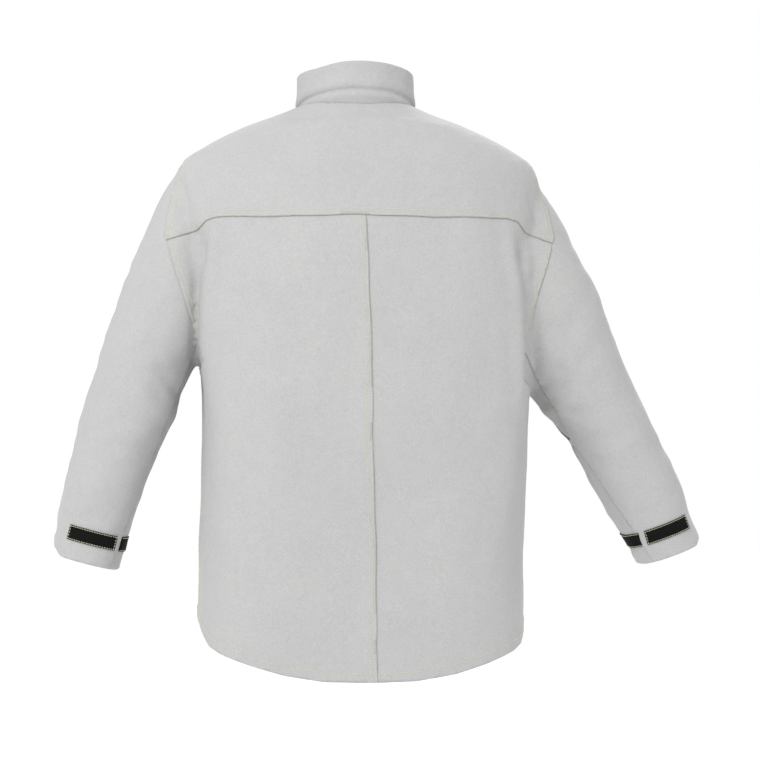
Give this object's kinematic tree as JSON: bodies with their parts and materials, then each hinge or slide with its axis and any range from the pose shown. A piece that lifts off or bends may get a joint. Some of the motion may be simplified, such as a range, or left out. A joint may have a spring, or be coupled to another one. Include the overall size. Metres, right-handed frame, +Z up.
{
  "type": "leather welding jacket",
  "caption": "Split-leather welding jacket in its worn shape, with back yoke, stand collar, snap front under a storm flap, and cuffs with hook-and-loop straps.",
  "frame": {"origin": "middle of the neck opening, level with the collar seam at the centre back", "axes": "+Z up, the front faces -Y, +X is the wearer's left"},
  "size_m": [0.8717, 0.3359, 0.8163],
  "materials": {
    "split_leather": "matte split leather, fine nap",
    "loop_tape": "black hook and loop tape",
    "snap_metal": "satin nickel"
  },
  "bodies": {
    "root": {"back_yoke": "split_leather", "back_left_panel": "split_leather", "back_right_panel": "split_leather", "left_side_panel": "split_leather", "right_side_panel": "split_leather", "collar_outer": "split_leather", "collar_inner": "split_leather", "hanger_loop": "split_leather", "throat_stud": "snap_metal", "throat_post": "snap_metal"},
    "left_front": {"left_front_panel": "split_leather", "left_front_facing": "split_leather", "storm_flap": "split_leather", "snap_caps": "snap_metal", "snap_sockets": "snap_metal"},
    "right_front": {"right_front_panel": "split_leather", "right_front_facing": "split_leather", "snap_studs": "snap_metal", "snap_posts": "snap_metal"},
    "throat_strap": {"throat_tab": "split_leather", "throat_cap": "snap_metal", "throat_socket": "snap_metal"},
    "left_sleeve": {"left_upper_sleeve": "split_leather", "left_under_sleeve": "split_leather", "left_cuff_facing": "split_leather", "left_cuff_loop_long": "loop_tape", "left_cuff_loop_short": "loop_tape"},
    "left_cuff_strap": {"left_cuff_tab": "split_leather", "left_cuff_hook": "loop_tape"},
    "right_sleeve": {"right_upper_sleeve": "split_leather", "right_under_sleeve": "split_leather", "right_cuff_facing": "split_leather", "right_cuff_loop_long": "loop_tape", "right_cuff_loop_short": "loop_tape"},
    "right_cuff_strap": {"right_cuff_tab": "split_leather", "right_cuff_hook": "loop_tape"}
  },
  "joints": [
    {"name": "left_front_open", "type": "hinge", "parent": "root", "child": "left_front", "pos_m": [0.175, -0.137, -0.4], "axis": [0, 0, 1], "range_deg": [0, 105]},
    {"name": "right_front_open", "type": "hinge", "parent": "root", "child": "right_front", "pos_m": [-0.175, -0.137, -0.4], "axis": [0, 0, -1], "range_deg": [0, 105]},
    {"name": "left_sleeve_lift", "type": "hinge", "parent": "root", "child": "left_sleeve", "pos_m": [0.237, 0, -0.075], "axis": [0, -1, 0], "range_deg": [0, 30]},
    {"name": "right_sleeve_lift", "type": "hinge", "parent": "root", "child": "right_sleeve", "pos_m": [-0.237, 0, -0.075], "axis": [0, 1, 0], "range_deg": [0, 30]},
    {"name": "throat_strap_open", "type": "hinge", "parent": "root", "child": "throat_strap", "pos_m": [0.03, -0.072, -0.011], "axis": [0, 0, 1], "range_deg": [0, 110]},
    {"name": "left_cuff_strap_open", "type": "hinge", "parent": "left_sleeve", "child": "left_cuff_strap", "pos_m": [0.3278, -0.0575, -0.58365], "axis": [0.2604, 0, -0.9655], "range_deg": [0, 90]},
    {"name": "right_cuff_strap_open", "type": "hinge", "parent": "right_sleeve", "child": "right_cuff_strap", "pos_m": [-0.3805, -0.0575, -0.58193], "axis": [0.39, 0, 0.9208], "range_deg": [0, 90]}
  ],
  "couplings": [
    {"joint": "right_front_open", "follows": "left_front_open", "ratio": 1}
  ]
}
